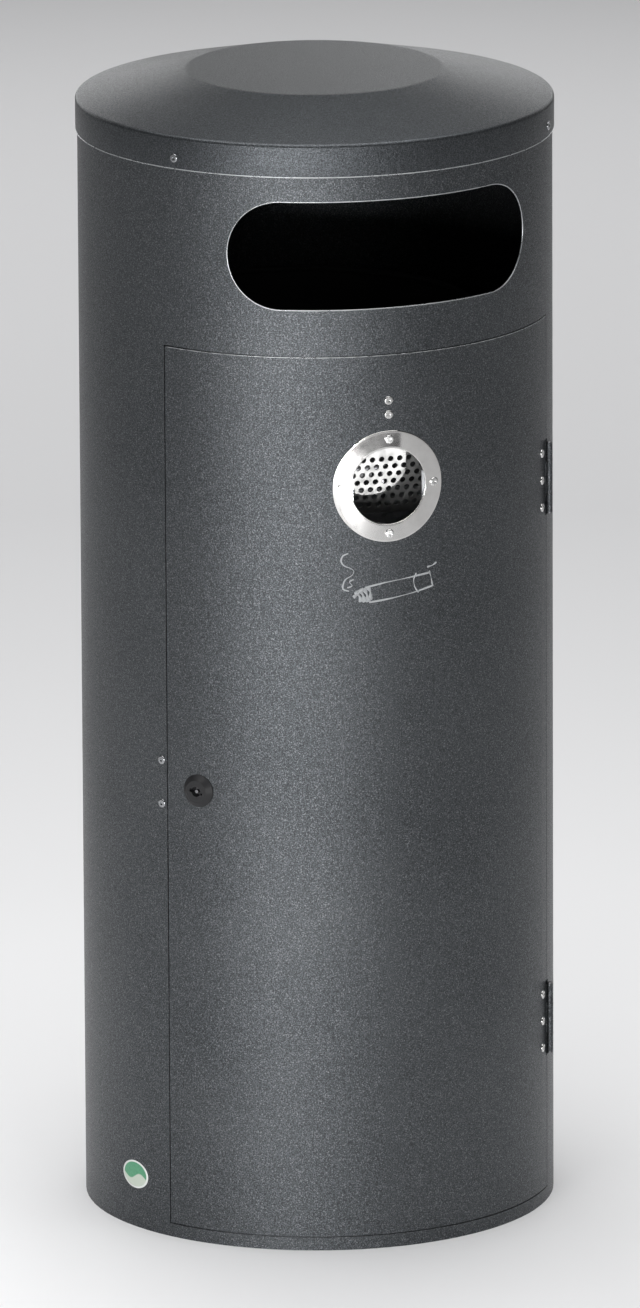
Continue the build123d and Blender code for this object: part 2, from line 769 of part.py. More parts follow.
nodes = {
    "body_shell": make_body_shell(),
    "lid": make_lid(),
    "lid_rivets": wall_rivets(lid_rivet_places, lid_outer, inner),
    "base_plate": make_base_plate(),
    "door_stop_top": make_door_stop_top(),
    "door_stop_side": make_door_stop_side(),
    "strike_plate": make_strike_plate(),
    "strike_rivets": wall_rivets(strike_places, outer, inner - stop_sheet - strike_sheet - seam_gap),
    "hinge_body_rivets": wall_rivets(hinge_rivet_places(1), outer, inner - leaf_sheet - seam_gap),
    "hinge_door_rivets": wall_rivets(hinge_rivet_places(-1), door_outer, door_inner - leaf_sheet - seam_gap),
    "door_panel": make_door_panel(),
    "ashtray_ring": make_ashtray_ring(),
    "stub_plate": make_stub_plate(),
    "stub_plate_bracket": make_bracket(),
    "bracket_rivets": wall_rivets(bracket_places, door_outer, door_inner - bracket_sheet - seam_gap),
    "ash_box_cradle": make_cradle(),
    "ash_box": make_ash_box(),
    "ash_box_grip": make_box_grip(),
    "lock_housing": make_lock_housing(),
    "lock_nut": make_lock_nut(),
    "lock_spindle": make_spindle(),
    "lock_tongue": make_tongue(),
    "tongue_screw": make_tongue_screw(),
    "liner_wall": make_liner_wall(),
    "liner_floor": make_liner_floor(),
    "handle_ears": make_ears(),
    "ear_rivets": make_ear_rivets(),
    "liner_handle": make_liner_handle(),
    "handle_grip": make_handle_grip(),
    "oval_label": make_oval_label(),
    "cigarette_pictogram": make_pictogram(),
}
for name, middle in hinge_heights.items():
    nodes[f"hinge_{name}_body_leaf"] = make_body_leaf(middle)
    nodes[f"hinge_{name}_door_leaf"] = make_door_leaf(middle)
    nodes[f"hinge_{name}_pin"] = make_hinge_pin(middle)
side_grip = door_inner - cradle_sheet - seam_gap
plain_grip = door_inner
top_face = door_outer + ring_sheet
side_rivets = wall_rivets(ring_side_places, top_face, side_grip)
plain_rivets = wall_rivets(ring_places[2:], top_face, plain_grip)
nodes["ring_rivets"] = Compound([*side_rivets.solids(), *plain_rivets.solids()])

os.makedirs("parts", exist_ok=True)
for name, shape in nodes.items():
    export_step(shape, f"parts/{name}.step")
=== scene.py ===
# A freestanding round ashtray bin: coated steel body, riveted lid, hinged door with a steel ashtray ring.
import json
from math import cos, pi, radians, sin
import bpy
import numpy as np
from mathutils import Euler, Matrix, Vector


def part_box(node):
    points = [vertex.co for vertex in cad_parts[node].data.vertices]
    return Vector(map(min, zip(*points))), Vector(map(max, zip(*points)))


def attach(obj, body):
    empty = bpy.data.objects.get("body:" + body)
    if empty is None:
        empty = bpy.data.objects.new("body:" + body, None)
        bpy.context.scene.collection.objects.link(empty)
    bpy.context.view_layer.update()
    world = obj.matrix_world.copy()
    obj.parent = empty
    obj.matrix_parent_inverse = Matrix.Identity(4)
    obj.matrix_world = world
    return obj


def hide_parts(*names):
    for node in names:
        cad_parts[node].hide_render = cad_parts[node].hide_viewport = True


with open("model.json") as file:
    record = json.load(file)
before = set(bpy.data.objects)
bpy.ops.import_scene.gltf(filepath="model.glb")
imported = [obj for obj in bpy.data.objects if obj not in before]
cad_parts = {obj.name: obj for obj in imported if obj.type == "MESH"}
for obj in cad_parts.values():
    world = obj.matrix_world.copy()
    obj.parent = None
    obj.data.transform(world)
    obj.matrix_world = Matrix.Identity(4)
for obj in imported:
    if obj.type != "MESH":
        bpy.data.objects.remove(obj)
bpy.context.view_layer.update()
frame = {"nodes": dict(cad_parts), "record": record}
nodes = frame["nodes"]


# ---------------------------------------------------------------- sizes read from the frame

wall = (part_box("body_shell")[1].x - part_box("body_shell")[0].x) / 2
lid_low, lid_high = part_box("lid")
door_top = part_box("door_panel")[1].z
ring_low, ring_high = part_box("ashtray_ring")
ring_height = (ring_low.z + ring_high.z) / 2
ring_radius = (ring_high.z - ring_low.z) / 2
label_low, label_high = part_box("oval_label")
label_height = (label_low.z + label_high.z) / 2


# ---------------------------------------------------------------- sizes that no box gives, metres and radians

lid_sheet = 0.0012
lid_cone_rise = 0.0224
lid_flat_radius = 0.108
slot_half_height = 0.04615
slot_half_straight = 0.09685
slot_below_rim = 0.0488
slot_height = lid_high.z - lid_cone_rise - slot_below_rim - slot_half_height
ring_hole_radius = 0.0325
picture_height = ring_height - 0.086
label_half_width = 0.017
label_half_height = 0.012
floor_radius = 14.0

slot_bearing = radians(1.0)
ring_bearing = radians(-0.8)
picture_bearing = radians(-0.8)
label_bearing = radians(-69.9)

target_height = 0.5
camera_azimuth = -18.387        # degrees, like every azimuth and elevation of the lights
camera_distance = 13.224
camera_height = 3.8768


# ---------------------------------------------------------------- shader building blocks

def new_material(name):
    """Material with its node tree and its Principled shader."""
    material = bpy.data.materials.new(name)
    material.use_nodes = True
    shader = material.node_tree.nodes["Principled BSDF"]
    return material, material.node_tree, shader


def add(tree, kind, **values):
    """New node with properties and input values set by name."""
    node = tree.nodes.new(kind)
    for name, value in values.items():
        if hasattr(node, name):
            setattr(node, name, value)
        else:
            node.inputs[name.replace("_", " ")].default_value = value
    return node


def object_place(tree):
    """Output that gives each shaded point in the object's own metres."""
    return tree.nodes.new("ShaderNodeTexCoord").outputs["Object"]


def math_node(tree, operation, first, second=0.0):
    """Sum, product or other operation on numbers or sockets."""
    node = tree.nodes.new("ShaderNodeMath")
    node.operation = operation
    for socket, value in zip(node.inputs, (first, second)):
        if isinstance(value, (int, float)):
            socket.default_value = value
        else:
            tree.links.new(value, socket)
    return node.outputs[0]


def mix_colour(tree, amount, first, second):
    """Colour between first and second; each input is a number, a colour or a socket."""
    node = tree.nodes.new("ShaderNodeMix")
    node.data_type = "RGBA"
    for place, value in ((0, amount), (6, first), (7, second)):
        socket = node.inputs[place]
        if isinstance(value, (int, float)):
            socket.default_value = value
        elif isinstance(value, tuple):
            socket.default_value = (*value, 1.0)
        else:
            tree.links.new(value, socket)
    return node.outputs[2]


def remap(tree, value, low, high, out_low=0.0, out_high=1.0):
    """Carries low to high over to out_low to out_high, and holds the ends."""
    node = tree.nodes.new("ShaderNodeMapRange")
    node.inputs["From Min"].default_value = low
    node.inputs["From Max"].default_value = high
    node.inputs["To Min"].default_value = out_low
    node.inputs["To Max"].default_value = out_high
    tree.links.new(value, node.inputs["Value"])
    return node.outputs["Result"]


def group(name, inputs, outputs):
    """Empty shader node group with named inputs (name, kind, default) and outputs (name, kind)."""
    tree = bpy.data.node_groups.new(name, "ShaderNodeTree")
    for label, kind, value in inputs:
        socket = tree.interface.new_socket(label, in_out="INPUT", socket_type=kind)
        socket.default_value = value
    for label, kind in outputs:
        tree.interface.new_socket(label, in_out="OUTPUT", socket_type=kind)
    entry = tree.nodes.new("NodeGroupInput")
    leave = tree.nodes.new("NodeGroupOutput")
    return tree, entry.outputs, leave.inputs


def use_group(tree, made, **values):
    """Puts a node group in, with its input values set by name, and returns its outputs."""
    node = tree.nodes.new("ShaderNodeGroup")
    node.node_tree = made
    for label, value in values.items():
        node.inputs[label.replace("_", " ")].default_value = value
    return node.outputs


# ---------------------------------------------------------------- shared effects

FLOAT = "NodeSocketFloat"
COLOUR = "NodeSocketColor"


def make_flake_grain():
    """Orange-peel relief with light metal flakes on its tops and dark pits between."""
    tree, given, out = group("flake_grain", [("Grain Scale", FLOAT, 500.0), ("Flake Scale", FLOAT, 900.0)],
                             [("Relief", FLOAT), ("Flakes", FLOAT), ("Clouds", FLOAT)])
    place = object_place(tree)
    peel = add(tree, "ShaderNodeTexNoise", Detail=2.0, Roughness=0.55)
    tree.links.new(place, peel.inputs["Vector"])
    tree.links.new(given["Grain Scale"], peel.inputs["Scale"])
    cells = add(tree, "ShaderNodeTexVoronoi")
    tree.links.new(place, cells.inputs["Vector"])
    tree.links.new(given["Flake Scale"], cells.inputs["Scale"])
    shade = tree.nodes.new("ShaderNodeSeparateColor")
    tree.links.new(cells.outputs["Color"], shade.inputs["Color"])
    flakes = math_node(tree, "MULTIPLY", remap(tree, shade.outputs[0], 0.55, 1.0),
                       remap(tree, peel.outputs["Fac"], 0.42, 0.62))
    clouds = add(tree, "ShaderNodeTexNoise", Scale=7.0, Detail=3.0)
    tree.links.new(place, clouds.inputs["Vector"])
    tree.links.new(peel.outputs["Fac"], out["Relief"])
    tree.links.new(flakes, out["Flakes"])
    tree.links.new(clouds.outputs["Fac"], out["Clouds"])
    return tree


def make_fine_wear():
    """Faint rubbed patches and small scratches, for plain metal."""
    tree, given, out = group("fine_wear", [("Patch Scale", FLOAT, 60.0), ("Scratch Scale", FLOAT, 400.0)],
                             [("Patches", FLOAT), ("Scratches", FLOAT)])
    place = object_place(tree)
    patches = add(tree, "ShaderNodeTexNoise", Detail=4.0, Roughness=0.6)
    tree.links.new(place, patches.inputs["Vector"])
    tree.links.new(given["Patch Scale"], patches.inputs["Scale"])
    stretch = tree.nodes.new("ShaderNodeMapping")
    stretch.inputs["Scale"].default_value = (1.0, 1.0, 0.06)
    stretch.inputs["Rotation"].default_value = (0.35, 0.2, 0.0)
    tree.links.new(place, stretch.inputs["Vector"])
    scratches = add(tree, "ShaderNodeTexNoise", Detail=3.0, Roughness=0.7)
    tree.links.new(stretch.outputs["Vector"], scratches.inputs["Vector"])
    tree.links.new(given["Scratch Scale"], scratches.inputs["Scale"])
    tree.links.new(patches.outputs["Fac"], out["Patches"])
    tree.links.new(scratches.outputs["Fac"], out["Scratches"])
    return tree


flake_grain = make_flake_grain()
fine_wear = make_fine_wear()


# ---------------------------------------------------------------- materials

def bump(tree, shader, height, strength, distance):
    """Relief on a shader's normal."""
    node = add(tree, "ShaderNodeBump", Strength=strength, Distance=distance)
    tree.links.new(height, node.inputs["Height"])
    tree.links.new(node.outputs["Normal"], shader.inputs["Normal"])


def powder_coat(name, dark, light, metal=0.55, rough=0.42):
    """Dark grey textured coating with silver flakes."""
    material, tree, shader = new_material(name)
    grain = use_group(tree, flake_grain, Grain_Scale=950.0, Flake_Scale=1400.0)
    base = mix_colour(tree, remap(tree, grain["Relief"], 0.36, 0.64), dark, tuple(2.4 * c for c in dark))
    base = mix_colour(tree, remap(tree, grain["Clouds"], 0.3, 0.7, 0.0, 0.08), base, light)
    base = mix_colour(tree, remap(tree, grain["Flakes"], 0.0, 1.0, 0.0, 0.8), base, light)
    tree.links.new(base, shader.inputs["Base Color"])
    tree.links.new(remap(tree, grain["Flakes"], 0.0, 1.0, metal, 0.95), shader.inputs["Metallic"])
    tree.links.new(remap(tree, grain["Relief"], 0.35, 0.65, rough + 0.06, rough - 0.06),
                   shader.inputs["Roughness"])
    bump(tree, shader, grain["Relief"], 0.7, 0.0005)
    return material


def bare_metal(name, colour, rough, metallic=1.0, patch=60.0, scratch=400.0, depth=0.00003):
    """Plain metal with rubbed patches and fine scratches."""
    material, tree, shader = new_material(name)
    wear = use_group(tree, fine_wear, Patch_Scale=patch, Scratch_Scale=scratch)
    shade = mix_colour(tree, remap(tree, wear["Patches"], 0.3, 0.7), tuple(0.86 * c for c in colour), colour)
    shade = mix_colour(tree, remap(tree, wear["Scratches"], 0.62, 0.8, 0.0, 0.35), shade, (0.9, 0.9, 0.9))
    tree.links.new(shade, shader.inputs["Base Color"])
    tree.links.new(remap(tree, wear["Patches"], 0.3, 0.7, rough * 0.75, rough * 1.25),
                   shader.inputs["Roughness"])
    shader.inputs["Metallic"].default_value = metallic
    bump(tree, shader, wear["Scratches"], 0.3, depth)
    return material


def spangled_zinc(name):
    """Galvanised sheet: crystal spangles in slightly different greys."""
    material, tree, shader = new_material(name)
    wear = use_group(tree, fine_wear, Patch_Scale=30.0, Scratch_Scale=300.0)
    cells = add(tree, "ShaderNodeTexVoronoi", Scale=120.0)
    tree.links.new(object_place(tree), cells.inputs["Vector"])
    shade = tree.nodes.new("ShaderNodeSeparateColor")
    tree.links.new(cells.outputs["Color"], shade.inputs["Color"])
    tint = mix_colour(tree, shade.outputs[0], (0.36, 0.37, 0.385), (0.52, 0.53, 0.545))
    tint = mix_colour(tree, remap(tree, wear["Patches"], 0.45, 0.75, 0.0, 0.4), tint, (0.27, 0.275, 0.28))
    tree.links.new(tint, shader.inputs["Base Color"])
    tree.links.new(remap(tree, shade.outputs[0], 0.0, 1.0, 0.3, 0.5), shader.inputs["Roughness"])
    shader.inputs["Metallic"].default_value = 0.9
    bump(tree, shader, wear["Scratches"], 0.25, 0.00003)
    return material


def moulded_plastic(name, colour, rough=0.5):
    """Matt moulded plastic or black die casting with a fine pitted skin."""
    material, tree, shader = new_material(name)
    grain = use_group(tree, flake_grain, Grain_Scale=900.0, Flake_Scale=1200.0)
    base = mix_colour(tree, grain["Clouds"], colour, tuple(1.6 * c for c in colour))
    tree.links.new(base, shader.inputs["Base Color"])
    tree.links.new(remap(tree, grain["Relief"], 0.3, 0.7, rough - 0.08, rough + 0.08),
                   shader.inputs["Roughness"])
    shader.inputs["Specular IOR Level"].default_value = 0.35
    bump(tree, shader, grain["Relief"], 0.3, 0.0001)
    return material


def printed_label(name, bearing, height, half_width, half_height):
    """Small oval sticker: green above a wavy line, pale below, and a thin white border."""
    material, tree, shader = new_material(name)
    split = tree.nodes.new("ShaderNodeSeparateXYZ")
    tree.links.new(object_place(tree), split.inputs["Vector"])
    along = math_node(tree, "ADD", math_node(tree, "MULTIPLY", split.outputs["X"], cos(bearing) / half_width),
                      math_node(tree, "MULTIPLY", split.outputs["Y"], sin(bearing) / half_width))
    up = math_node(tree, "MULTIPLY", math_node(tree, "SUBTRACT", split.outputs["Z"], height), 1 / half_height)
    wave = math_node(tree, "MULTIPLY", math_node(tree, "SINE", math_node(tree, "MULTIPLY", along, 4.2)), 0.22)
    above = remap(tree, math_node(tree, "SUBTRACT", up, wave), -0.16, -0.08)
    inside = math_node(tree, "ADD", math_node(tree, "MULTIPLY", along, along),
                       math_node(tree, "MULTIPLY", up, up))
    wear = use_group(tree, fine_wear, Patch_Scale=400.0, Scratch_Scale=2000.0)
    green = mix_colour(tree, wear["Patches"], (0.05, 0.22, 0.11), (0.10, 0.36, 0.20))
    colour = mix_colour(tree, above, (0.52, 0.58, 0.50), green)
    colour = mix_colour(tree, remap(tree, inside, 0.74, 0.80), colour, (0.72, 0.74, 0.72))
    tree.links.new(colour, shader.inputs["Base Color"])
    tree.links.new(remap(tree, wear["Scratches"], 0.3, 0.7, 0.25, 0.4), shader.inputs["Roughness"])
    return material


coat = powder_coat("antique_silver_coat", (0.034, 0.037, 0.040), (0.26, 0.27, 0.28), metal=0.8)
smooth_coat = powder_coat("smoother_lid_coat", (0.034, 0.037, 0.040), (0.16, 0.17, 0.18),
                          metal=0.8, rough=0.38)
bright_steel = bare_metal("polished_stainless", (0.86, 0.85, 0.83), 0.08, depth=0.00001)
plate_steel = bare_metal("stub_plate_steel", (0.62, 0.62, 0.61), 0.46, metallic=0.92, patch=120.0)
# Light metal colour for the edge beads: a painted highlight of sheet edges catching the light; only the
# beads' rounding is real shape.
edge_highlight_metal = bare_metal("edge_painted_highlight", (0.55, 0.57, 0.58), 0.3, metallic=0.85, patch=90.0)
coated_rivet = bare_metal("coated_rivet", (0.36, 0.37, 0.38), 0.24,
                          metallic=0.95, patch=500.0, scratch=2500.0)
rivet_metal = bare_metal("rivet_aluminium", (0.74, 0.74, 0.73), 0.26, patch=300.0, scratch=1500.0)
dull_steel = bare_metal("dark_pin_steel", (0.20, 0.20, 0.21), 0.4, patch=200.0)
zinc = spangled_zinc("galvanised_sheet")
lock_black = moulded_plastic("black_die_casting", (0.012, 0.012, 0.013), 0.42)
grip_black = moulded_plastic("black_grip_plastic", (0.018, 0.018, 0.018), 0.55)
print_silver = moulded_plastic("silver_screen_print", (0.30, 0.31, 0.32), 0.5)
label_vinyl = printed_label("oval_label_print", label_bearing, label_height,
                            label_half_width, label_half_height)
flag_black = moulded_plastic("flag_cloth", (0.01, 0.01, 0.01), 0.9)
# The liner's near-black colour is painted shade for the dark inside of the bin.
liner_shade_black = moulded_plastic("dark_liner_painted_shade", (0.05, 0.05, 0.052), 0.5)

finish_of_slot = {
    "liner_paint": liner_shade_black,
    "powder_coat": coat,
    "stainless": bright_steel,
    "zinc_steel": zinc,
    "rivet_aluminium": rivet_metal,
    "lock_black": lock_black,
    "dark_steel": dull_steel,
    "black_plastic": grip_black,
    "label_green": label_vinyl,
    "sign_silver": print_silver,
}
finish_of_node = {
    "stub_plate": plate_steel,
    "lid_rivets": coated_rivet,
    "strike_rivets": coated_rivet,
    "hinge_body_rivets": coated_rivet,
}
slot_of_node = {part["node"]: part["material_slot"] for part in frame["record"]["subparts"]}
for name, thing in nodes.items():
    finish = finish_of_node.get(name, finish_of_slot[slot_of_node[name]])
    thing.data.materials.clear()
    thing.data.materials.append(finish)


# ---------------------------------------------------------------- modelled pieces

def linked(name, data):
    """New object in the scene, made from its data."""
    thing = bpy.data.objects.new(name, data)
    bpy.context.scene.collection.objects.link(thing)
    return thing


def mesh_object(name, points, faces, material, body):
    """Smooth object from points and faces, riding a body, with its material."""
    mesh = bpy.data.meshes.new(name)
    mesh.from_pydata([tuple(map(float, point)) for point in points], [], faces)
    mesh.materials.append(material)
    mesh.shade_smooth()
    thing = linked(name, mesh)
    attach(thing, body)
    return thing


def grid_faces(rows, columns, wrap_rows, wrap_columns, start=0):
    """Quads over a grid of points numbered row by row, closed round where asked."""
    faces = []
    for row in range(rows if wrap_rows else rows - 1):
        for column in range(columns if wrap_columns else columns - 1):
            below, beside = (row + 1) % rows, (column + 1) % columns
            faces.append((start + row * columns + column, start + row * columns + beside,
                          start + below * columns + beside, start + below * columns + column))
    return faces


def on_wall(bearing, height, across, up, lift):
    """Points beside the wall: a flat outline (across, up) carried square to the wall at a bearing,
    lift above its surface, so the distance outwards is the square root of (wall + lift)^2 - across^2."""
    across, up, lift = np.broadcast_arrays(across, up, lift)
    out = np.sqrt((wall + lift) ** 2 - across ** 2)
    return np.stack([out * sin(bearing) + across * cos(bearing),
                     -out * cos(bearing) + across * sin(bearing), height + up], axis=-1)


def rounded(corners, steps=6):
    """Polyline through (x, y, radius) corners, each rounded by an arc of its radius."""
    path = []
    for index, (x, y, radius) in enumerate(corners):
        here = np.array([x, y])
        if radius == 0 or index in (0, len(corners) - 1):
            path.append(here)
            continue
        before = np.array(corners[index - 1][:2]) - here
        after = np.array(corners[index + 1][:2]) - here
        before, after = before / np.linalg.norm(before), after / np.linalg.norm(after)
        half = np.arccos(np.clip(before @ after, -1, 1)) / 2
        reach = radius / np.tan(half)
        middle = here + (before + after) / np.linalg.norm(before + after) * radius / np.sin(half)
        first, last = here + before * reach - middle, here + after * reach - middle
        for part in np.linspace(0, 1, steps + 1):
            arm = first * (1 - part) + last * part
            path.append(middle + arm / np.linalg.norm(arm) * radius)
    return np.array(path)


def make_lid():
    """Spun lid, one turn of a section about the upright axis: flat top, shallow cone, rounded rim,
    skirt with a soft hem, and the same line inwards by the sheet's thickness."""
    outer, sheet, flat = lid_high.x, lid_sheet, lid_flat_radius
    top, low, rim = lid_high.z, lid_low.z, lid_high.z - lid_cone_rise
    inside = outer - sheet
    section = rounded([
        (0, top, 0), (flat, top, 0.022), (outer, rim, 0.0035), (outer, low, 0.0005), (inside, low, 0.0005),
        (inside, rim - sheet, 0.0025), (flat, top - sheet, 0.02), (0, top - sheet, 0)])
    steps = 256
    turns = np.linspace(0, 2 * pi, steps, endpoint=False)
    middle = section[1:-1]
    rings = np.stack([middle[:, :1] * np.cos(turns), middle[:, :1] * np.sin(turns),
                      np.repeat(middle[:, 1:], steps, axis=1)], axis=-1).reshape(-1, 3)
    points = [*rings, (0, 0, top), (0, 0, top - sheet)]
    faces = [tuple(reversed(face)) for face in grid_faces(len(middle), steps, False, True)]
    last = (len(middle) - 1) * steps
    for step in range(steps):
        after = (step + 1) % steps
        faces.append((len(points) - 2, step, after))
        faces.append((len(points) - 1, last + after, last + step))
    lid = mesh_object("spun_lid", points, faces, smooth_coat, "housing")
    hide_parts("lid")


def make_ring():
    """Polished ring: a rounded section turned about the outward axis and laid on the wall's curve."""
    inner_edge, outer_edge, thick, low = ring_hole_radius, ring_radius, 0.0013, 0.00005
    edges = rounded([(inner_edge, low, 0), (inner_edge, thick, 0.0005), (outer_edge, thick, 0.0006),
                     (outer_edge, low, 0)])
    split = len(edges) // 2
    across = np.linspace(edges[split - 1], edges[split], 12)
    section = np.concatenate([edges[:split], across[1:-1], edges[split:]])
    steps = 192
    turns = np.linspace(0, 2 * pi, steps, endpoint=False)[:, None]
    points = on_wall(ring_bearing, ring_height, section[:, 0] * np.cos(turns),
                     section[:, 0] * np.sin(turns), section[:, 1])
    faces = grid_faces(steps, len(section), True, True)
    ring = mesh_object("polished_ring", points.reshape(-1, 3), faces, bright_steel, "door")
    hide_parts("ashtray_ring")


def make_label():
    """Oval sticker: a thin elliptical disc laid on the wall's curve."""
    front, back = 0.0002, -0.00005
    section = np.array([(share, front) for share in np.linspace(0.12, 1, 9)] + [(1, back)])
    steps = 72
    turns = np.linspace(0, 2 * pi, steps, endpoint=False)[:, None]
    rings = on_wall(label_bearing, label_height, label_half_width * section[:, 0] * np.cos(turns),
                    label_half_height * section[:, 0] * np.sin(turns), section[:, 1])
    rings = np.swapaxes(rings, 0, 1).reshape(-1, 3)
    ends = [on_wall(label_bearing, label_height, 0.0, 0.0, lift) for lift in (front, back)]
    faces = [tuple(reversed(face)) for face in grid_faces(len(section), steps, False, True)]
    last = (len(section) - 1) * steps
    for step in range(steps):
        after = (step + 1) % steps
        faces.append((len(rings), step, after))
        faces.append((len(rings) + 1, last + after, last + step))
    label = mesh_object("oval_sticker", [*rings, *ends], faces, label_vinyl, "housing")
    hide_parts("oval_label")


def smooth_path(corners, steps=8):
    """Catmull-Rom curve through the corners."""
    knots = np.array([corners[0], *corners, corners[-1]], float)
    path = []
    for index in range(1, len(knots) - 2):
        a, b, c, d = knots[index - 1:index + 3]
        for part in np.linspace(0, 1, steps, endpoint=False):
            path.append(0.5 * (2 * b + (c - a) * part + (2 * a - 5 * b + 4 * c - d) * part ** 2
                               + (3 * b - a - 3 * c + d) * part ** 3))
    path.append(knots[-2])
    return np.array(path)


def make_picture():
    """Burning cigarette drawn with brush strokes: each stroke is a flat ribbon along a smooth curve,
    its width swelling and thinning as a sine of the distance, a fifth of a millimetre thick."""
    strokes = [
        (1.1, [(-35, 30), (-39.5, 28), (-41, 23.5), (-38.5, 19.5), (-33, 17), (-30.5, 14.5), (-32, 11),
               (-37, 8), (-39, 4.5), (-39.5, -0.5), (-34.5, -2.5)]),
        (1.0, [(-30.5, 7.5), (-34, 5.5), (-32, 2), (-36, 0.5)]),
        (2.6, [(-31, -8), (-27, -5), (-22, -1)]),
        (3.4, [(-29, -3), (-26, -7), (-24, -12)]),
        (3.6, [(-26, -1.5), (-23, -6), (-21, -12.5)]),
        (3.6, [(-22, -0.5), (-19.5, -6), (-18, -12.5)]),
        (3.0, [(-18.5, 0), (-16.5, -4), (-16.5, -11)]),
        (1.4, [(-20.5, 0), (-3.5, 3.2), (18.5, 5.8), (37, 8)]),
        (1.4, [(-17.5, -13), (3.5, -10.5), (23.5, -7.2), (40.5, -3.5)]),
        (1.2, [(24.5, 9), (22, 3.5), (23, -3), (26.5, -8)]),
        (1.2, [(36.5, 9.5), (38, 4), (39.5, -3)]),
        (1.4, [(34.5, 13), (39, 13.6), (43.5, 16)]),
    ]
    points, faces = [], []
    for width, corners in strokes:
        path = smooth_path(corners) / 1000
        step = np.gradient(path, axis=0)
        step /= np.linalg.norm(step, axis=1)[:, None]
        side = np.stack([-step[:, 1], step[:, 0]], axis=1)
        swell = 0.5 + 0.25 * np.sin(np.linspace(0.3, 9.0, len(path)))
        half = (width / 1000 * swell)[:, None] * side * 0.8
        for edge, lift in ((-half, 0.0), (-half, 0.0002), (half, 0.0002), (half, 0.0)):
            flat = path + edge
            along = np.sin(flat[:, 0] / wall) * wall
            points.append(on_wall(picture_bearing, picture_height, along, flat[:, 1], lift))
        start = sum(len(part) for part in points[:-4])
        count = len(path)
        faces += grid_faces(4, count, True, False, start)
        for end in (0, count - 1):
            cap = [start + row * count + end for row in range(4)]
            faces.append(tuple(cap if end == 0 else reversed(cap)))
    picture = mesh_object("brush_picture", np.concatenate(points), faces, print_silver, "door")
    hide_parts("cigarette_pictogram")


def make_bead(name, places, radius, closed, body):
    """Thin rounded bead along a sheet's edge: a small circle carried along the places, each given as
    a point and the two directions across the bead."""
    turns = np.linspace(0, 2 * pi, 8, endpoint=False)
    points = np.array([[point + radius * (cos(turn) * out + sin(turn) * side) for turn in turns]
                       for point, out, side in places])
    faces = grid_faces(len(places), len(turns), closed, True)
    if not closed:
        last = (len(places) - 1) * len(turns)
        faces.append(tuple(reversed(range(len(turns)))))
        faces.append(tuple(last + step for step in range(len(turns))))
    # The bead's light metal colour is a painted highlight along the edge.
    return mesh_object(name, points.reshape(-1, 3), faces, edge_highlight_metal, body)


def edge_places(bearings, heights, radius):
    """Places of a bead that follows bearings and heights on a round wall."""
    out = np.stack([np.sin(bearings), -np.cos(bearings), np.zeros_like(bearings)], axis=1)
    points = out * radius
    points[:, 2] = heights
    step = np.gradient(points, axis=0)
    step /= np.linalg.norm(step, axis=1)[:, None]
    return list(zip(points, out, np.cross(step, out)))


def make_edges():
    """Beads along the edges of the throw-in slot, the lid's skirt and the door's top, coloured light metal as
    a painted highlight.
    """
    half_straight, end = slot_half_straight, slot_half_height
    arc = np.linspace(-pi / 2, pi / 2, 60)
    run = np.linspace(half_straight, -half_straight, 62)[1:-1]
    along = np.concatenate([half_straight + end * np.cos(arc), run, -half_straight - end * np.cos(arc), -run])
    up = np.concatenate([end * np.sin(arc), np.full_like(run, end),
                         -end * np.sin(arc), np.full_like(run, -end)])
    places = edge_places(slot_bearing + along / wall, slot_height + up, wall - 0.0002)
    make_bead("slot_edge", places, 0.0005, True, "housing")
    turns = np.linspace(0, 2 * pi, 257)
    places = edge_places(turns, np.full_like(turns, lid_low.z + 0.0004), lid_high.x - 0.0001)
    make_bead("skirt_edge", places[:-1], 0.00045, True, "housing")
    turns = np.linspace(radians(-57.2), radians(56.6), 120)
    places = edge_places(turns, np.full_like(turns, door_top - 0.0003), wall - 0.0003)
    make_bead("door_top_edge", places, 0.0004, False, "door")


make_lid()
make_ring()
make_label()
make_picture()
make_edges()


# ---------------------------------------------------------------- floor, light and camera

def make_floor():
    """Wide pale floor disc whose colour darkens away from the bin: painted light, a falloff of the light
    round the bin.
    """
    turns = np.linspace(0.0, 2 * pi, 97)[:-1]
    ring = floor_radius * np.stack([np.cos(turns), np.sin(turns), np.zeros_like(turns)], axis=1)
    mesh = bpy.data.meshes.new("floor")
    mesh.from_pydata(ring.tolist(), [], [list(range(len(ring)))])
    floor = linked("floor", mesh)
    material, tree, shader = new_material("pale_floor")
    place = object_place(tree)
    clouds = add(tree, "ShaderNodeTexNoise", Scale=1.5, Detail=2.0)
    tree.links.new(place, clouds.inputs["Vector"])
    reach = tree.nodes.new("ShaderNodeVectorMath")
    reach.operation = "LENGTH"
    tree.links.new(place, reach.inputs[0])
    # Painted light: the floor's colour is lighter near the bin and darker away from it, in place of the
    # light's falloff.
    shade = mix_colour(tree, remap(tree, reach.outputs["Value"], 0.4, 2.4),
                       (0.95, 0.95, 0.96), (0.62, 0.62, 0.63))
    shade = mix_colour(tree, remap(tree, clouds.outputs["Fac"], 0.0, 1.0, 0.0, 0.06), shade, (0.5, 0.5, 0.5))
    tree.links.new(shade, shader.inputs["Base Color"])
    shader.inputs["Roughness"].default_value = 0.7
    mesh.materials.append(material)


def make_flag(name, corners):
    """Black card on the floor in front, out of shot, that darkens part of the ring's reflection.
    Its corners are bearings in degrees and distances from the ashtray."""
    above_floor = 0.002
    points = [(reach * sin(radians(turn)), -wall - reach * cos(radians(turn)), above_floor)
              for turn, reach in corners]
    mesh = bpy.data.meshes.new(name)
    mesh.from_pydata(points, [], [tuple(range(len(points)))])
    mesh.materials.append(flag_black)
    card = linked(name, mesh)
    card.visible_camera = card.visible_diffuse = card.visible_shadow = False


def aim(thing, place, target, roll=0.0):
    """Puts a camera or light at a place and points it at a target, rolled by an angle."""
    thing.location = place
    turn = (Vector(target) - Vector(place)).to_track_quat("-Z", "Y").to_matrix().to_4x4()
    thing.rotation_euler = (turn @ Euler((0, 0, roll)).to_matrix().to_4x4()).to_euler()


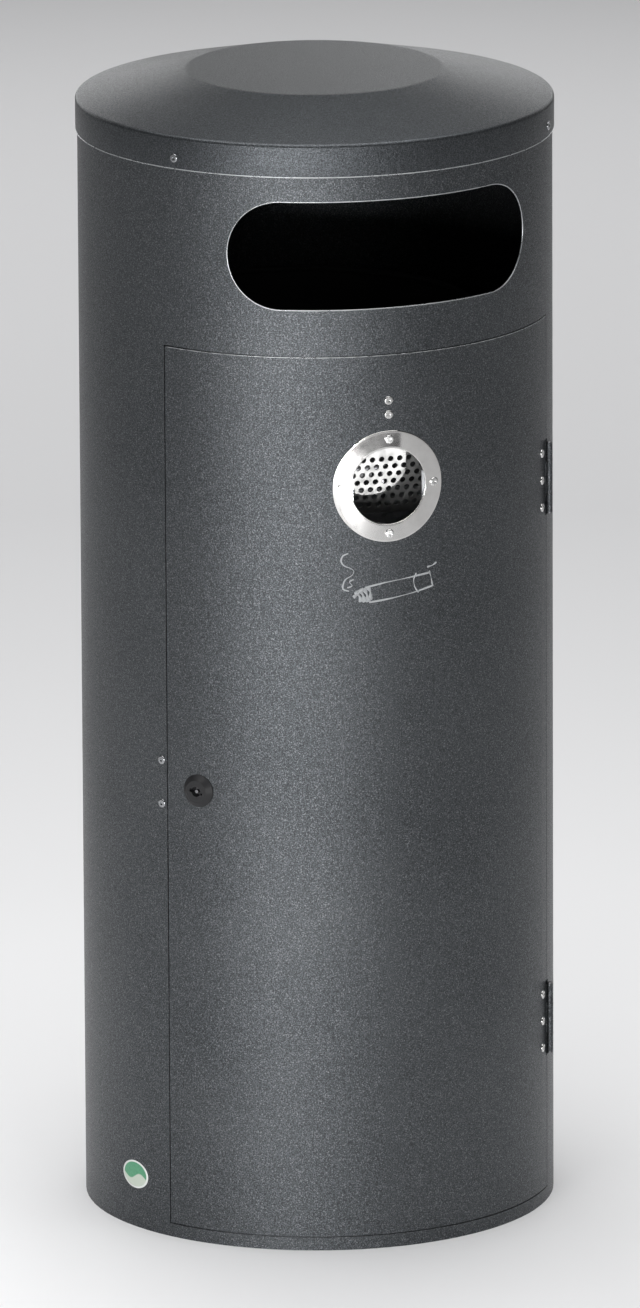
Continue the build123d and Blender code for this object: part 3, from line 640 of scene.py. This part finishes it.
def softbox(name, azimuth, elevation, distance, width, height, power):
    """Area light on a sphere round the bin, azimuth as in the camera's, aimed at its middle."""
    data = bpy.data.lights.new(name, "AREA")
    data.shape = "RECTANGLE"
    data.size = width
    data.size_y = height
    data.energy = power
    light = linked(name, data)
    light.visible_camera = False
    turned, raised = radians(azimuth), radians(elevation)
    place = (distance * cos(raised) * sin(turned), -distance * cos(raised) * cos(turned),
             distance * sin(raised) + target_height)
    aim(light, place, (0, 0, target_height))


def snoot(name, azimuth, elevation, distance, spread, power, target, soft=0.25):
    """Round spot on a sphere round its target; soft is how much of its pool fades out."""
    data = bpy.data.lights.new(name, "SPOT")
    data.energy = power
    data.spot_size = radians(spread)
    data.spot_blend = soft
    data.shadow_soft_size = 0.012
    light = linked(name, data)
    turned, raised = radians(azimuth), radians(elevation)
    away = Vector((cos(raised) * sin(turned), -cos(raised) * cos(turned), sin(raised)))
    aim(light, Vector(target) + away * distance, target)


def make_camera():
    """Long lens from the front left, a little above the lid."""
    data = bpy.data.cameras.new("camera")
    data.lens = 442.8
    data.clip_end = 60.0
    camera = linked("camera", data)
    turned = radians(camera_azimuth)
    place = (camera_distance * sin(turned), -camera_distance * cos(turned), camera_height)
    aim(camera, place, (0.0017, -0.0023, 0.4688), radians(-0.28))
    bpy.context.scene.camera = camera


make_camera()
make_floor()
make_flag("far_flag", ((-3, 2.74), (23, 2.74), (23, 3.0), (-3, 3.0)))
make_flag("near_flag", ((-9, 2.52), (0, 2.52), (1, 2.67), (-8, 2.67)))
softbox("front_small", -2, -1, 3.4, 0.14, 0.14, 9)
snoot("ashtray_spot", -4, -9, 3.0, 1.5, 750, (-0.003, -0.2, ring_height))
snoot("left_pool", 0, 90, 3.5, 42, 190, (-1.3, 0.0, 0), 1.0)
softbox("front_fill", camera_azimuth - 14, 0, 3.8, 2.6, 0.9, 76)
softbox("overhead", 0, 90, 6.0, 7.0, 7.0, 480)
softbox("behind_left", camera_azimuth - 160, 14, 5.0, 2.6, 1.2, 26)
softbox("behind_right", camera_azimuth + 165, 14, 5.0, 2.6, 1.2, 20)


def make_world():
    """Even studio surround, bright near the horizon and dim overhead."""
    world = bpy.data.worlds.new("studio")
    bpy.context.scene.world = world
    world.use_nodes = True
    tree = world.node_tree
    place = tree.nodes.new("ShaderNodeTexCoord").outputs["Generated"]
    split = tree.nodes.new("ShaderNodeSeparateXYZ")
    tree.links.new(place, split.inputs["Vector"])
    level = remap(tree, split.outputs["Z"], 0.05, 0.5, 0.45, 0.06)
    shade = tree.nodes.new("ShaderNodeCombineColor")
    for socket in shade.inputs[:3]:
        tree.links.new(level, socket)
    tree.links.new(shade.outputs["Color"], tree.nodes["Background"].inputs["Color"])
    tree.nodes["Background"].inputs["Strength"].default_value = 0.45


make_world()

bpy.context.scene.view_settings.view_transform = "Standard"
